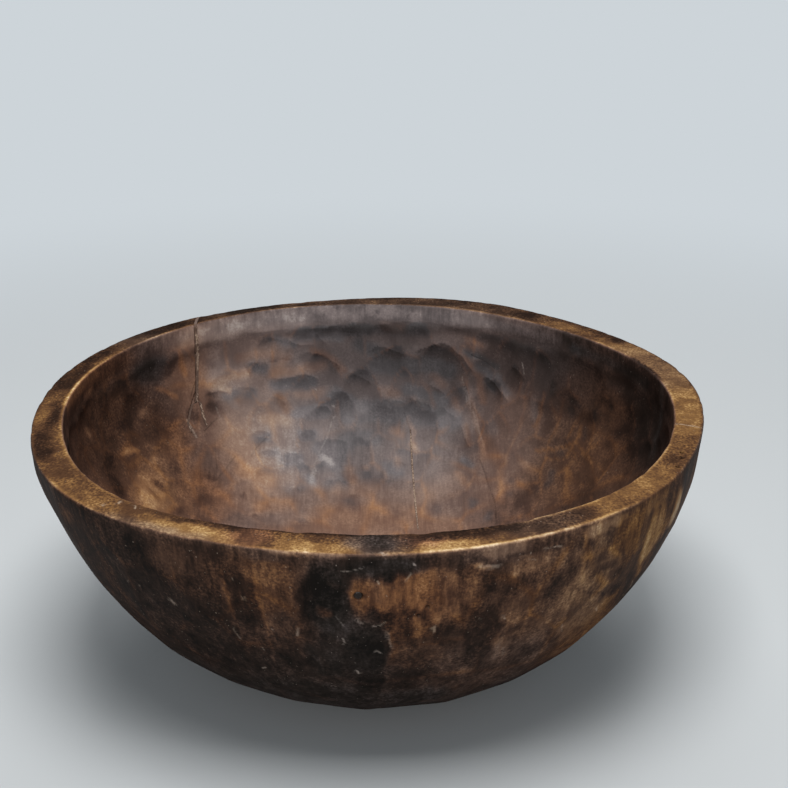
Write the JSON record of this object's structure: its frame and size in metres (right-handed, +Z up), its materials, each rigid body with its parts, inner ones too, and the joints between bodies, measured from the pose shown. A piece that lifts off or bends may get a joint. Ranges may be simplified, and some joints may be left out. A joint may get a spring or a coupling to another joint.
{
  "type": "wooden bowl",
  "caption": "Deep round bowl hewn from a solid block of dark waxed hardwood, with a broad flat rim, gouge-marked hollow, flat foot and filled drying cracks, for fruit, bread or small goods.",
  "frame": {"origin": "centre of the flat foot, on the surface that the bowl stands on", "axes": "+Z up through the middle of the rim, +X along the rim's longest way, +Y towards the back of the pictured view and along the wood's grain"},
  "size_m": [0.4027, 0.3876, 0.1613],
  "materials": {
    "hewn_wood": "dark stained and waxed, worn to golden wood on the rim and the facets' edges",
    "crack_filler": "dull pale wood-dust filler, rubbed flush",
    "pit_stopping": "dark glossy hard wax"
  },
  "bodies": {
    "root": {"bowl_body": "hewn_wood", "rear_left_crack_filler": "crack_filler", "back_wall_check_filler": "crack_filler", "front_pit_stopping": "pit_stopping"}
  },
  "joints": []
}
